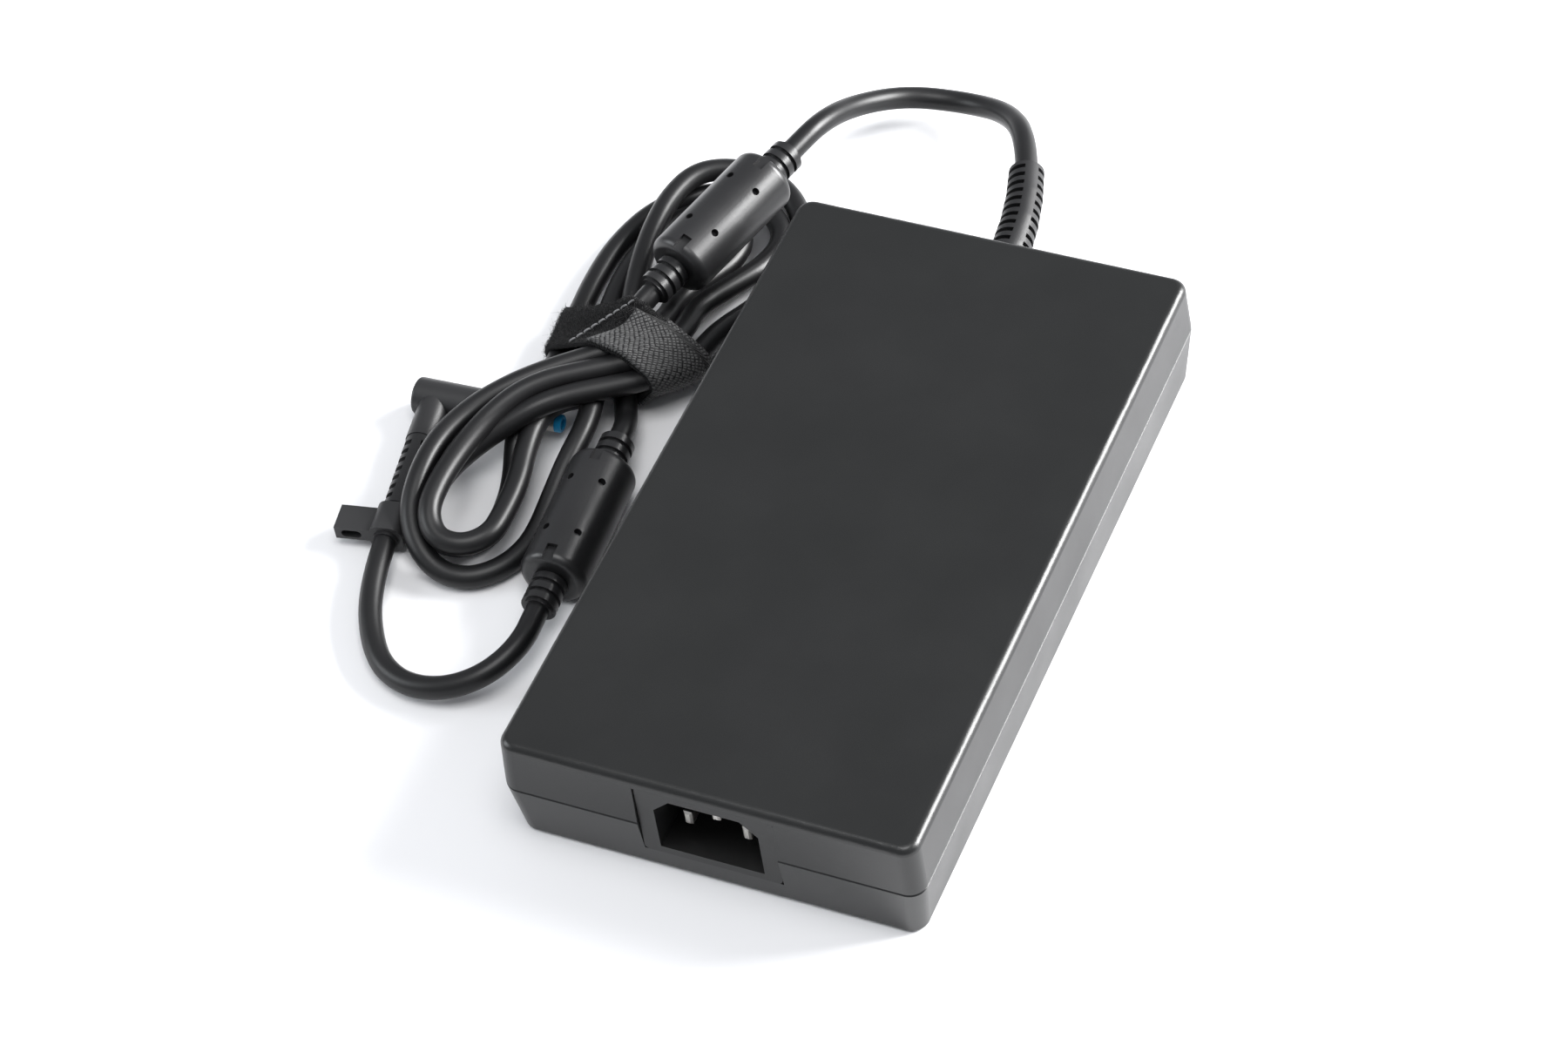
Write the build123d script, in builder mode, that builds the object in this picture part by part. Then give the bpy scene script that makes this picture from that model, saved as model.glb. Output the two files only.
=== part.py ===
"""A laptop power adapter with a mains inlet, a hanked low-voltage lead and a right-angle plug.

Sizes are in millimetres.  The origin is the centre of the case's underside.  +Y runs from the mains
inlet towards the end where the lead leaves, +X is to the right seen from the inlet, +Z is up.
"""
from build123d import *
from math import cos, radians, sin, tan
import os

# Case: two moulded shells that meet at the parting line, where the outline is largest.
case_length = 178.0
case_width = 100.0
case_height = 30.8
parting_height = 16.3
lower_lean = 1.7
upper_lean = 0.7
corner_radius = 4.0
top_edge_radius = 2.0
bottom_edge_radius = 1.5
wall = 2.4
seam_chamfer = 0.35
lip_height = 1.6
lip_thickness = 1.0
lip_clearance = 0.1
fit_gap = 0.15

# Mains inlet: a six-sided socket with three blades, in a housing trapped between the shells.
inlet_width = 24.8
inlet_height = 16.9
inlet_corner_cut = 4.0
inlet_centre_height = 17.35
inlet_depth = 18.5
inlet_wall = 1.6
flange_width = 33.0
flange_height = 21.2
flange_recess = 0.9
flange_thickness = 3.0
collar_overhang = 2.0
collar_thickness = 1.5
blade_spacing = 14.0
blade_drop = 2.0
earth_rise = 4.0
blade_width = 2.0
blade_height = 4.0
blade_recess = 4.4
blade_tail = 5.0

# Board and what stands on it.
board_clearance = 1.2
board_front_clearance = 10.0
board_back_clearance = 18.0
board_thickness = 1.6
board_height = 5.6
ledge_width = 1.4
ledge_length = 8.0
spreader_thickness = 0.8
spreader_gap = 0.25
insulation_thickness = 0.3
label_length = 88.0
label_width = 58.0
label_thickness = 0.2
label_recess = 0.35

# Low-voltage lead and what is moulded or fixed onto it.
cord_diameter = 5.6
boot_length = 36.0
boot_base_diameter = 10.2
boot_tip_diameter = 8.8
boot_bend_radius = 105.0
boot_flange_diameter = 14.0
boot_flange_thickness = 1.8
boot_flange_setback = 0.9
boot_slots = 12
boot_slot_width = 1.3
boot_tip_collar = 1.2
spine_width = 3.4
spine_turn = 24.0
choke_diameter = 16.5
choke_length = 36.0
choke_edge_radius = 2.2
choke_stub_diameter = 8.6
choke_stub_length = 9.0
choke_stub_ribs = 3
ferrite_diameter = 12.6
ferrite_bore = 6.4
ferrite_length = 28.0
ferrite_clearance = 0.1
pin_hole_diameter = 1.9
pin_row_angle = 29.0
end_slot_width = 2.6
end_slot_length = 4.5

# Hank: the figure-eight bundle of turns, and the strap round its waist.
hank_waist_width = 35.0
hank_waist_height = 15.4
hank_waist_length = 34.0
hank_waist_radius = 5.5
hank_far_height = 10.8
hank_near_height = 22.0
hank_near_slope = 0.27
strap_width = 15.6
strap_thickness = 1.5
patch_thickness = 1.3
patch_length = 22.0

# Plug: a right-angle head, a boot with a smooth nose, and the clip that turns on that nose.
plug_head_diameter = 9.4
plug_head_length = 23.1
plug_height = 4.8
plug_head_turn = 2.5
plug_tail_turn = 10.0
plug_neck_diameter = 8.0
plug_neck_length = 14.5
plug_boot_diameter = 7.0
plug_boot_length = 21.5
plug_boot_slots = 7
nose_diameter = 6.2
nose_length = 10.2
barrel_diameter = 4.5
barrel_bore = 3.4
barrel_length = 10.0
insulator_length = 1.6
centre_pin_diameter = 0.8
clip_clearance = 0.05
clip_length = 8.6
clip_width = 8.2
clip_corner_radius = 2.9
tab_reach = 13.0
tab_thickness = 3.8
tab_depth = 7.2
tab_slot_width = 5.0
tab_slot_height = 2.3


def case_outline(height):
    """Width and length of the case's outline at a height: it leans in both ways from the parting line."""
    if height <= parting_height:
        lean = lower_lean * (parting_height - height) / parting_height
    else:
        lean = upper_lean * (height - parting_height) / (case_height - parting_height)
    return case_width - 2 * lean, case_length - 2 * lean


def outline_sketch(height, inset):
    """The case's rounded outline at a height, moved in from the outside by an inset."""
    width, length = case_outline(height)
    with BuildSketch(Plane.XY.offset(height)) as outline:
        RectangleRounded(width - 2 * inset, length - 2 * inset, max(corner_radius - inset, 0.8))
    return outline.sketch


def along(start, end, roll=0.0):
    """A plane at start whose normal points at end, with its x axis level but for a roll in degrees."""
    run = (Vector(*end) - Vector(*start)).normalized()
    level = Vector(0, 0, 1).cross(run).normalized()
    rise = run.cross(level)
    return Plane(origin=start, x_dir=level * cos(radians(roll)) + rise * sin(radians(roll)), z_dir=run)


def arc_radii(points):
    """The largest equal-tangent arc at each inner point: 0.45 of the shorter run over tan(half the turn)."""
    radii = []
    for before, here, after in zip(points, points[1:], points[2:]):
        run_in = Vector(*here) - Vector(*before)
        run_out = Vector(*after) - Vector(*here)
        half_turn = radians(run_in.get_angle(run_out)) / 2
        radii.append(0.45 * min(run_in.length, run_out.length) / tan(half_turn))
    return radii


os.makedirs("parts", exist_ok=True)
back_wall = case_length / 2
front_wall = -case_length / 2

# ---------------------------------------------------------------- shells

floor_level = wall
ceiling_level = case_height - wall
flange_face = front_wall + flange_recess
collar_face = flange_face + flange_thickness
boot_neck_hole = boot_base_diameter + 2 * fit_gap
rib_face = collar_face + collar_thickness + fit_gap
rib_width = 3.0
rib_thickness = 2.0
rib_x = flange_width / 2 + collar_overhang - rib_width / 2
lower_rib_top = inlet_centre_height - inlet_height / 2 + 2.0
upper_rib_bottom = inlet_centre_height + inlet_height / 2 - 2.0
ledge_positions = (-60.0, -20.0, 20.0, 55.0)


def cut_end_openings():
    """The inlet's window in the front wall and the boot's hole in the back wall, on the parting line."""
    with BuildSketch(Plane.XZ.offset(-front_wall + 1.0)) as window:
        with Locations((0, inlet_centre_height)):
            Rectangle(flange_width + 2 * fit_gap, flange_height + 2 * fit_gap)
    extrude(window.sketch, amount=-(wall + 4.0), mode=Mode.SUBTRACT)
    with BuildSketch(Plane.XZ.offset(-back_wall - 1.0)) as neck:
        with Locations((0, parting_height)):
            Circle(boot_neck_hole / 2)
    extrude(neck.sketch, amount=wall + 4.0, mode=Mode.SUBTRACT)


with BuildPart() as lower_case:
    add(outline_sketch(0, 0))
    add(outline_sketch(parting_height - seam_chamfer, 0))
    add(outline_sketch(parting_height, seam_chamfer))
    loft(ruled=True)
    fillet(lower_case.faces().sort_by(Axis.Z)[0].edges(), bottom_edge_radius)
    add(outline_sketch(floor_level, wall))
    add(outline_sketch(parting_height, wall))
    loft(ruled=True, mode=Mode.SUBTRACT)
    add(outline_sketch(parting_height, wall - lip_thickness - lip_clearance))
    extrude(amount=-(lip_height + lip_clearance), mode=Mode.SUBTRACT)
    with BuildSketch(Plane.XY.offset(floor_level)):
        for side in (-1, 1):
            inner_edge = case_outline(floor_level)[0] / 2 - wall - ledge_width / 2
            with Locations(*[(side * inner_edge, y) for y in ledge_positions]):
                Rectangle(ledge_width + 1.0, ledge_length)
    extrude(amount=board_height - floor_level)
    with BuildSketch(Plane.XY.offset(floor_level)):
        with Locations((-rib_x, rib_face + rib_thickness / 2), (rib_x, rib_face + rib_thickness / 2)):
            Rectangle(rib_width, rib_thickness)
    extrude(amount=lower_rib_top - floor_level)
    with BuildSketch(Plane.XY):
        RectangleRounded(label_width + 2 * fit_gap, label_length + 2 * fit_gap, 2.0)
    extrude(amount=label_recess, mode=Mode.SUBTRACT)
    cut_end_openings()
lower_case.part.label = "lower_case"
export_step(lower_case.part, "parts/lower_case.step")

with BuildPart() as upper_case:
    add(outline_sketch(parting_height, seam_chamfer))
    add(outline_sketch(parting_height + seam_chamfer, 0))
    add(outline_sketch(case_height, 0))
    loft(ruled=True)
    fillet(upper_case.faces().sort_by(Axis.Z)[-1].edges(), top_edge_radius)
    add(outline_sketch(parting_height, wall))
    add(outline_sketch(ceiling_level, wall))
    loft(ruled=True, mode=Mode.SUBTRACT)
    add(outline_sketch(parting_height, wall - lip_thickness))
    extrude(amount=-lip_height)
    add(outline_sketch(parting_height, wall))
    extrude(amount=-lip_height, mode=Mode.SUBTRACT)
    with BuildSketch(Plane.XY.offset(ceiling_level)):
        with Locations((-rib_x, rib_face + rib_thickness / 2), (rib_x, rib_face + rib_thickness / 2)):
            Rectangle(rib_width, rib_thickness)
    extrude(amount=-(ceiling_level - upper_rib_bottom))
    cut_end_openings()
upper_case.part.label = "upper_case"
export_step(upper_case.part, "parts/upper_case.step")

with BuildPart() as rating_label:
    with BuildSketch(Plane.XY.offset(label_recess - label_thickness)):
        RectangleRounded(label_width, label_length, 2.0)
    extrude(amount=label_thickness)
rating_label.part.label = "rating_label"
export_step(rating_label.part, "parts/rating_label.step")

# ---------------------------------------------------------------- mains inlet


def six_sided(depth, width, height):
    """The socket's outline at a depth: a rectangle whose two upper corners are cut at 45 degrees."""
    socket_plane = Plane(origin=(0, depth, inlet_centre_height), x_dir=(1, 0, 0), z_dir=(0, -1, 0))
    with BuildSketch(socket_plane) as outline:
        with BuildLine():
            Polyline(
                (-width / 2, -height / 2),
                (width / 2, -height / 2),
                (width / 2, height / 2 - inlet_corner_cut),
                (width / 2 - inlet_corner_cut, height / 2),
                (-width / 2 + inlet_corner_cut, height / 2),
                (-width / 2, height / 2 - inlet_corner_cut),
                close=True,
            )
        make_face()
    return outline.sketch


cavity_end = flange_face + inlet_depth
with BuildPart() as inlet_housing:
    with BuildSketch(Plane.XZ.offset(-flange_face)):
        with Locations((0, inlet_centre_height)):
            Rectangle(flange_width, flange_height)
    extrude(amount=-flange_thickness)
    fillet(inlet_housing.edges().filter_by(Axis.Y), 1.2)
    with BuildSketch(Plane.XZ.offset(-collar_face)):
        with Locations((0, inlet_centre_height - collar_overhang / 2)):
            Rectangle(flange_width + 2 * collar_overhang, flange_height + collar_overhang)
    extrude(amount=-collar_thickness)
    shroud = six_sided(collar_face, inlet_width + 2 * inlet_wall, inlet_height + 2 * inlet_wall)
    extrude(shroud, amount=-(cavity_end + inlet_wall - collar_face))
    extrude(six_sided(flange_face, inlet_width, inlet_height), amount=-inlet_depth, mode=Mode.SUBTRACT)
    row = inlet_centre_height - blade_drop
    with BuildSketch(Plane.XZ.offset(-cavity_end)):
        with Locations((-blade_spacing / 2, row), (blade_spacing / 2, row), (0, row + earth_rise)):
            Rectangle(blade_width, blade_height)
    extrude(amount=-(inlet_wall + 1.0), mode=Mode.SUBTRACT)
inlet_housing.part.label = "inlet_housing"
export_step(inlet_housing.part, "parts/inlet_housing.step")

blades = {
    "line_blade": (blade_spacing / 2, row),
    "neutral_blade": (-blade_spacing / 2, row),
    "earth_blade": (0, row + earth_rise),
}
blade_tip = flange_face + blade_recess
for name, (x, z) in blades.items():
    with BuildPart() as blade:
        with BuildSketch(Plane.XZ.offset(-blade_tip)):
            with Locations((x, z)):
                Rectangle(blade_width, blade_height)
        extrude(amount=-(cavity_end + inlet_wall + blade_tail - blade_tip))
        chamfer(blade.faces().sort_by(Axis.Y)[0].edges(), 0.5)
    blade.part.label = name
    export_step(blade.part, "parts/" + name + ".step")

# ---------------------------------------------------------------- board, spreaders and components

board_width = case_outline(board_height)[0] - 2 * wall - board_clearance
board_top = board_height + board_thickness
board_start = front_wall + board_front_clearance
board_length = case_length - board_front_clearance - board_back_clearance
board_centre = board_start + board_length / 2
spreader_width = case_outline(floor_level)[0] - 2 * (wall + ledge_width) - 2 * spreader_gap - 2.0
lower_spreader_base = floor_level + spreader_gap
insulation_base = lower_spreader_base + spreader_thickness + 0.05
upper_spreader_top = ceiling_level - spreader_gap
upper_spreader_start = cavity_end + inlet_wall + 4.0
upper_spreader_end = board_start + board_length
component_height = upper_spreader_top - spreader_thickness - board_top - 0.5

with BuildPart() as circuit_board:
    with BuildSketch(Plane.XY.offset(board_height)):
        with Locations((0, board_centre)):
            RectangleRounded(board_width, board_length, 2.0)
    extrude(amount=board_thickness)
circuit_board.part.label = "circuit_board"
export_step(circuit_board.part, "parts/circuit_board.step")

with BuildPart() as lower_heat_spreader:
    with BuildSketch(Plane.XY.offset(lower_spreader_base)):
        with Locations((0, board_centre)):
            RectangleRounded(spreader_width, board_length, 2.0)
    extrude(amount=spreader_thickness)
lower_heat_spreader.part.label = "lower_heat_spreader"
export_step(lower_heat_spreader.part, "parts/lower_heat_spreader.step")

with BuildPart() as insulation_sheet:
    with BuildSketch(Plane.XY.offset(insulation_base)):
        with Locations((0, board_centre)):
            RectangleRounded(spreader_width, board_length + 4.0, 2.0)
    extrude(amount=insulation_thickness)
insulation_sheet.part.label = "insulation_sheet"
export_step(insulation_sheet.part, "parts/insulation_sheet.step")

spreader_skirt = 9.0
with BuildPart() as upper_heat_spreader:
    spreader_length = upper_spreader_end - upper_spreader_start
    with BuildSketch(Plane.XY.offset(upper_spreader_top)):
        with Locations((0, upper_spreader_start + spreader_length / 2)):
            Rectangle(spreader_width, spreader_length)
    extrude(amount=-spreader_thickness)
    with BuildSketch(Plane.XY.offset(upper_spreader_top)):
        for side in (-1, 1):
            with Locations((side * (spreader_width - spreader_thickness) / 2, board_centre)):
                Rectangle(spreader_thickness, board_length - 40.0)
    extrude(amount=-spreader_skirt)
upper_heat_spreader.part.label = "upper_heat_spreader"
export_step(upper_heat_spreader.part, "parts/upper_heat_spreader.step")

fuse_diameter = 5.2
with BuildPart() as fuse:
    fuse_axis = Plane(origin=(-33, -58, board_top + fuse_diameter / 2 + 0.4), z_dir=(0, 1, 0))
    with BuildSketch(fuse_axis):
        Circle(fuse_diameter / 2)
    extrude(amount=20.0)
    with BuildSketch(fuse_axis.offset(5.0)):
        Circle(fuse_diameter / 2)
        Circle(fuse_diameter / 2 - 0.35, mode=Mode.SUBTRACT)
    extrude(amount=10.0, mode=Mode.SUBTRACT)
fuse.part.label = "fuse"
export_step(fuse.part, "parts/fuse.step")

with BuildPart() as line_filter_choke:
    with BuildSketch(Plane(origin=(-13, -44, board_top + 9.3), z_dir=(0, 1, 0))):
        Circle(9.0)
        Circle(4.0, mode=Mode.SUBTRACT)
    extrude(amount=5.0, both=True)
    fillet(line_filter_choke.edges().filter_by(GeomType.CIRCLE), 1.8)
    with BuildSketch(Plane.XY.offset(board_top)):
        with Locations((-13, -44)):
            Rectangle(16.0, 12.0)
    extrude(amount=1.2)
line_filter_choke.part.label = "line_filter_choke"
export_step(line_filter_choke.part, "parts/line_filter_choke.step")

with BuildPart() as film_capacitor:
    with BuildSketch(Plane.XY.offset(board_top)):
        with Locations((14, -48)):
            Rectangle(26.0, 10.0)
    extrude(amount=16.5)
    fillet(film_capacitor.faces().sort_by(Axis.Z)[-1].edges(), 0.8)
film_capacitor.part.label = "film_capacitor"
export_step(film_capacitor.part, "parts/film_capacitor.step")

with BuildPart() as bridge_rectifier:
    with BuildSketch(Plane.XY.offset(board_top + 1.5)):
        with Locations((35, -30)):
            Rectangle(4.0, 22.0)
    extrude(amount=14.5)
    chamfer(bridge_rectifier.edges().filter_by(Axis.Z).sort_by(Axis.Y)[-1], 2.0)
    with BuildSketch(Plane.XY.offset(board_top)):
        with Locations(*[(35, -30 + step * 5.0) for step in (-1.5, -0.5, 0.5, 1.5)]):
            Rectangle(1.0, 1.2)
    extrude(amount=1.5)
bridge_rectifier.part.label = "bridge_rectifier"
export_step(bridge_rectifier.part, "parts/bridge_rectifier.step")

with BuildPart() as boost_inductor:
    with BuildSketch(Plane.XY.offset(board_top)):
        with Locations((-24, -15)):
            Rectangle(30.0, 26.0)
    extrude(amount=component_height)
    with BuildSketch(Plane.XY.offset(board_top + 4.5)):
        for side in (-1, 1):
            with Locations((-24, -15 + side * 13.0)):
                Rectangle(20.0, 6.0)
    extrude(amount=component_height - 9.0, mode=Mode.SUBTRACT)
boost_inductor.part.label = "boost_inductor"
export_step(boost_inductor.part, "parts/boost_inductor.step")

capacitor_diameter = 16.0
with BuildPart() as bulk_capacitors:
    for y in (-24.0, -6.5):
        with BuildSketch(Plane(origin=(-4, y, board_top + capacitor_diameter / 2), z_dir=(1, 0, 0))):
            Circle(capacitor_diameter / 2)
        extrude(amount=34.0)
    fillet(bulk_capacitors.edges().filter_by(GeomType.CIRCLE), 0.8)
bulk_capacitors.part.label = "bulk_capacitors"
export_step(bulk_capacitors.part, "parts/bulk_capacitors.step")

heatsink_height = 17.5
with BuildPart() as primary_heatsink:
    with BuildSketch(Plane.XY.offset(board_top)):
        with Locations((38.5, 2)):
            Rectangle(1.5, 38.0)
        with Locations((35.0, 21.5)):
            Rectangle(8.5, 1.5)
    extrude(amount=heatsink_height)
primary_heatsink.part.label = "primary_heatsink"
export_step(primary_heatsink.part, "parts/primary_heatsink.step")

transistor_size = (4.4, 10.0, 15.0)


def stand_transistors(x, rows):
    """Transistor bodies on a row, each on three legs, flat against a plate beside them."""
    depth, width, height = transistor_size
    with BuildSketch(Plane.XY.offset(board_top + 1.8)) as bodies:
        with Locations(*[(x, y) for y in rows]):
            Rectangle(depth, width)
    extrude(bodies.sketch, amount=height)
    with BuildSketch(Plane.XY.offset(board_top)) as legs:
        for y in rows:
            with Locations((x, y - 2.54), (x, y), (x, y + 2.54)):
                Rectangle(0.6, 0.9)
    extrude(legs.sketch, amount=1.8)


with BuildPart() as primary_transistors:
    stand_transistors(38.5 - 0.75 - transistor_size[0] / 2, (-4.0, 10.0))
primary_transistors.part.label = "primary_transistors"
export_step(primary_transistors.part, "parts/primary_transistors.step")

transformer_x, transformer_y = -8.0, 25.0
core_length, core_width, core_limb = 34.0, 20.0, 6.0
with BuildPart() as transformer_core:
    with BuildSketch(Plane.XY.offset(board_top + 1.0)):
        with Locations((transformer_x, transformer_y)):
            Rectangle(core_width, core_length)
            Rectangle(core_width + 1.0, core_length - 2 * core_limb, mode=Mode.SUBTRACT)
    extrude(amount=component_height - 1.0)
    with BuildSketch(Plane.XY.offset(board_top + 1.0)):
        with Locations((transformer_x, transformer_y)):
            Rectangle(core_width, core_length)
    extrude(amount=3.6)
    with BuildSketch(Plane.XY.offset(board_top + component_height)):
        with Locations((transformer_x, transformer_y)):
            Rectangle(core_width, core_length)
    extrude(amount=-3.6)
transformer_core.part.label = "transformer_core"
export_step(transformer_core.part, "parts/transformer_core.step")

winding_height = component_height - 1.0 - 2 * 3.6 - 0.2
with BuildPart() as transformer_winding:
    with BuildSketch(Plane.XY.offset(board_top + 1.0 + 3.7)):
        with Locations((transformer_x, transformer_y)):
            RectangleRounded(30.0, core_length - 2 * core_limb - 0.4, 6.0)
    extrude(amount=winding_height)
    with BuildSketch(Plane.XY.offset(board_top)):
        with Locations((transformer_x - 13.5, transformer_y), (transformer_x + 13.5, transformer_y)):
            Rectangle(2.6, 18.0)
    extrude(amount=6.0)
transformer_winding.part.label = "transformer_winding"
export_step(transformer_winding.part, "parts/transformer_winding.step")

with BuildPart() as output_heatsink:
    with BuildSketch(Plane.XY.offset(board_top)):
        with Locations((22, 45)):
            Rectangle(1.5, 32.0)
    extrude(amount=heatsink_height)
output_heatsink.part.label = "output_heatsink"
export_step(output_heatsink.part, "parts/output_heatsink.step")

with BuildPart() as output_rectifiers:
    stand_transistors(22 + 0.75 + transistor_size[0] / 2, (37.0, 51.0))
output_rectifiers.part.label = "output_rectifiers"
export_step(output_rectifiers.part, "parts/output_rectifiers.step")

with BuildPart() as output_inductor:
    with BuildSketch(Plane.XY.offset(board_top)):
        with Locations((-30, 55)):
            Circle(11.0)
            Circle(4.5, mode=Mode.SUBTRACT)
    extrude(amount=11.0)
    fillet(output_inductor.edges().filter_by(GeomType.CIRCLE), 2.2)
output_inductor.part.label = "output_inductor"
export_step(output_inductor.part, "parts/output_inductor.step")

with BuildPart() as output_capacitors:
    with BuildSketch(Plane.XY.offset(board_top)):
        with Locations((-11, 58), (0, 58), (11, 58)):
            Circle(5.0)
    extrude(amount=17.0)
    fillet(output_capacitors.faces().filter_by(Plane.XY).edges(), 0.6)
output_capacitors.part.label = "output_capacitors"
export_step(output_capacitors.part, "parts/output_capacitors.step")

inner_wire_diameter = 2.2
inner_wire_end = back_wall - wall - boot_flange_setback - boot_flange_thickness
with BuildPart() as output_wires:
    for side in (-1, 1):
        wire_x = side * 2.0
        wire_top = parting_height
        wire_start = board_start + board_length - 4.0
        with BuildLine():
            FilletPolyline(
                (wire_x, wire_start, board_top),
                (wire_x, wire_start, wire_top),
                (wire_x, inner_wire_end, wire_top),
                radius=3.0,
            )
        with BuildSketch(Plane.XY.move(Location((wire_x, wire_start, board_top)))):
            Circle(inner_wire_diameter / 2)
        sweep()
output_wires.part.label = "output_wires"
export_step(output_wires.part, "parts/output_wires.step")

# ---------------------------------------------------------------- boot on the case


def boot_plane(distance):
    """The plane across the boot at a distance outside the wall, on its gentle bend towards -X."""
    turn = distance / boot_bend_radius
    x = -boot_bend_radius * (1 - cos(turn))
    y = back_wall + boot_bend_radius * sin(turn)
    return Plane(origin=(x, y, parting_height), x_dir=(cos(turn), sin(turn), 0), z_dir=(-sin(turn), cos(turn), 0))


with BuildPart() as cord_boot:
    boot_stations = 5
    for station in range(boot_stations):
        share = station / (boot_stations - 1)
        across = boot_base_diameter + share * (boot_tip_diameter - boot_base_diameter)
        with BuildSketch(boot_plane(share * boot_length)):
            Circle(across / 2)
    loft(ruled=True)
    with BuildSketch(boot_plane(0)):
        Circle(boot_base_diameter / 2)
    extrude(amount=-(wall + boot_flange_setback))
    with BuildSketch(boot_plane(0).offset(-(wall + boot_flange_setback))):
        Circle(boot_flange_diameter / 2)
    extrude(amount=-boot_flange_thickness)
    slot_pitch = (boot_length - 2 * boot_tip_collar) / boot_slots
    for slot in range(boot_slots):
        with BuildSketch(boot_plane(boot_length - boot_tip_collar - slot * slot_pitch)):
            Circle(boot_base_diameter)
            Circle(cord_diameter / 2 + 0.5, mode=Mode.SUBTRACT)
            Rectangle(spine_width, 3 * boot_base_diameter, rotation=spine_turn, mode=Mode.SUBTRACT)
        extrude(amount=-boot_slot_width, mode=Mode.SUBTRACT)
cord_boot.part.label = "cord_boot"
export_step(cord_boot.part, "parts/cord_boot.step")

# ---------------------------------------------------------------- chokes on the lead

upper_choke_ends = ((-65.7, 102.4, 20.0), (-75.6, 67.4, 18.6))
lower_choke_ends = ((-70.3, 9.9, 8.4), (-68.1, -24.8, 8.4))


def round_face(plane, diameter, bore=0.0):
    """A disc, or a ring where it has a bore, on a plane."""
    with BuildSketch(plane) as disc:
        Circle(diameter / 2)
        if bore > 0:
            Circle(bore / 2, mode=Mode.SUBTRACT)
    return disc.sketch


def choke_moulding_body(ends, roll):
    """A barrel round the ferrite with a ribbed stub at each end, and the holes its mould's pins leave."""
    middle = (Vector(*ends[0]) + Vector(*ends[1])) * 0.5
    axis = along(middle, ends[1], roll)
    extrude(round_face(axis.offset(-choke_length / 2), choke_diameter), amount=choke_length)
    fillet(edges().filter_by(GeomType.CIRCLE), choke_edge_radius)
    for end in (-1, 1):
        stub_face = round_face(axis.offset(end * choke_length / 2), choke_stub_diameter - 1.6)
        extrude(stub_face, amount=end * choke_stub_length)
        for rib in range(choke_stub_ribs):
            rib_start = choke_length / 2 + 0.6 + rib * 2.9
            extrude(round_face(axis.offset(end * rib_start), choke_stub_diameter), amount=end * 1.8)
    pocket_face = axis.offset(-ferrite_length / 2 - ferrite_clearance)
    pocket = round_face(pocket_face, ferrite_diameter + 2 * ferrite_clearance, ferrite_bore - 2 * ferrite_clearance)
    extrude(pocket, amount=ferrite_length + 2 * ferrite_clearance, mode=Mode.SUBTRACT)
    for side in (0, 180):
        for pin_row in (-pin_row_angle, pin_row_angle):
            pin_plane = along(middle, ends[1], roll + side + pin_row)
            for reach in (-8.0, 8.0):
                start = pin_plane.from_local_coords((0, ferrite_diameter / 2 - 1.0, reach))
                hole = round_face(Plane(origin=start, z_dir=pin_plane.y_dir), pin_hole_diameter)
                extrude(hole, amount=choke_diameter / 2, mode=Mode.SUBTRACT)
        slot_plane = along(middle, ends[1], roll + side)
        for end in (-1, 1):
            place = (0, choke_diameter / 2 - 1.1, end * (choke_length / 2 - end_slot_length / 2))
            start = slot_plane.from_local_coords(place)
            with BuildSketch(Plane(origin=start, x_dir=slot_plane.x_dir, z_dir=slot_plane.y_dir)) as slot:
                Rectangle(end_slot_width, end_slot_length + 0.02)
            extrude(slot.sketch, amount=3.0, mode=Mode.SUBTRACT)


def ferrite_body(ends):
    """The ferrite tube that fills the barrel's pocket."""
    middle = (Vector(*ends[0]) + Vector(*ends[1])) * 0.5
    start = along(middle, ends[1]).offset(-ferrite_length / 2)
    extrude(round_face(start, ferrite_diameter, ferrite_bore), amount=ferrite_length)


with BuildPart() as upper_choke_moulding:
    choke_moulding_body(upper_choke_ends, 168.0)
upper_choke_moulding.part.label = "upper_choke_moulding"
export_step(upper_choke_moulding.part, "parts/upper_choke_moulding.step")

with BuildPart() as upper_choke_ferrite:
    ferrite_body(upper_choke_ends)
upper_choke_ferrite.part.label = "upper_choke_ferrite"
export_step(upper_choke_ferrite.part, "parts/upper_choke_ferrite.step")

with BuildPart() as lower_choke_moulding:
    choke_moulding_body(lower_choke_ends, 180.0)
lower_choke_moulding.part.label = "lower_choke_moulding"
export_step(lower_choke_moulding.part, "parts/lower_choke_moulding.step")

with BuildPart() as lower_choke_ferrite:
    ferrite_body(lower_choke_ends)
lower_choke_ferrite.part.label = "lower_choke_ferrite"
export_step(lower_choke_ferrite.part, "parts/lower_choke_ferrite.step")


def stub_end(ends, end, beyond=0.0):
    """The centre of the outer face of a choke's stub, end 0 or end 1, or a point beyond it in line."""
    near = Vector(*ends[end])
    far = Vector(*ends[1 - end])
    middle = (near + far) * 0.5
    return tuple(middle + (near - far).normalized() * (choke_length / 2 + choke_stub_length + beyond))


# ---------------------------------------------------------------- free stretches of the lead

boot_tip = boot_plane(boot_length)
elbow = (-121.0, 21.9, plug_height)
head_axis = (cos(radians(plug_head_turn)), sin(radians(plug_head_turn)), 0)
boot_axis = (sin(radians(plug_tail_turn)), -cos(radians(plug_tail_turn)), 0)
plug_tail_length = plug_neck_length + plug_boot_length + nose_length
nose_face = along(elbow, tuple(elbow[i] + boot_axis[i] for i in range(3))).offset(plug_tail_length)

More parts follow.
